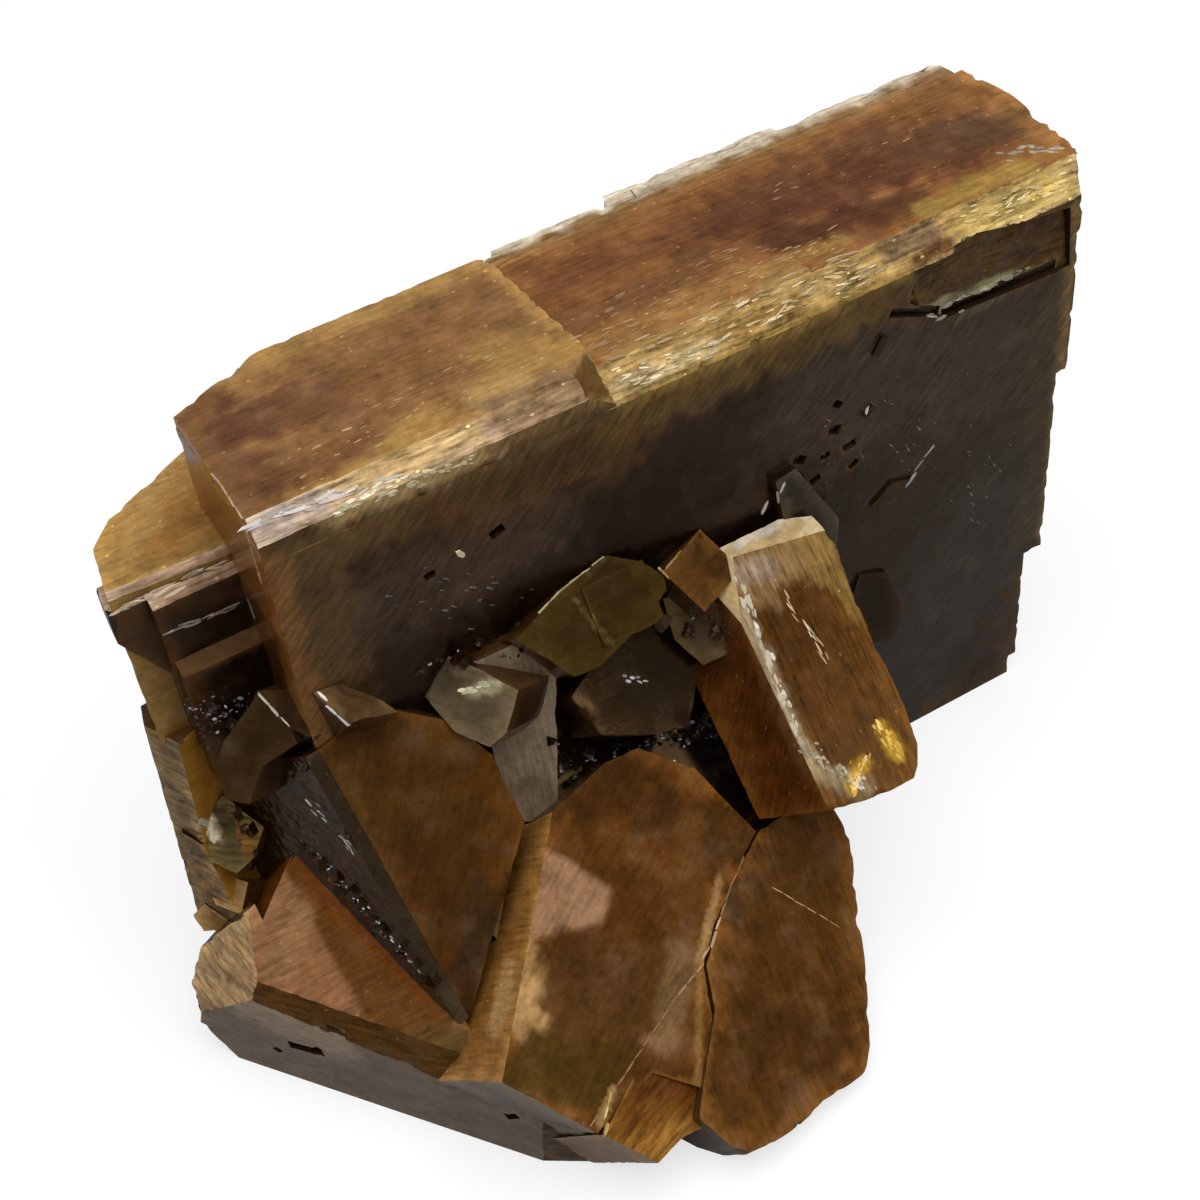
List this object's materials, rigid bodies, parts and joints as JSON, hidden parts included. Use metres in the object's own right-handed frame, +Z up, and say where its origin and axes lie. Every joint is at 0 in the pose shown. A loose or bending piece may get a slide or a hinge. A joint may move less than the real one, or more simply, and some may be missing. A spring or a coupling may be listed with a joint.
{
  "type": "barite mineral specimen",
  "caption": "Natural cluster of brown barite: a thick upright flat crystal with smaller blades and blocks grown against its front, resting on a flat cut foot.",
  "frame": {"origin": "centre of the bounding box in plan, at the height of the flat foot", "axes": "+X along the length of the main crystal, to the right seen from its front; +Y to its back; +Z up"},
  "size_m": [0.1148, 0.0778, 0.0746],
  "materials": {
    "brown_barite": "glossy flat crystal faces, clear brown, amber at thin edges"
  },
  "bodies": {
    "root": {"barite_cluster": "brown_barite"}
  },
  "joints": []
}
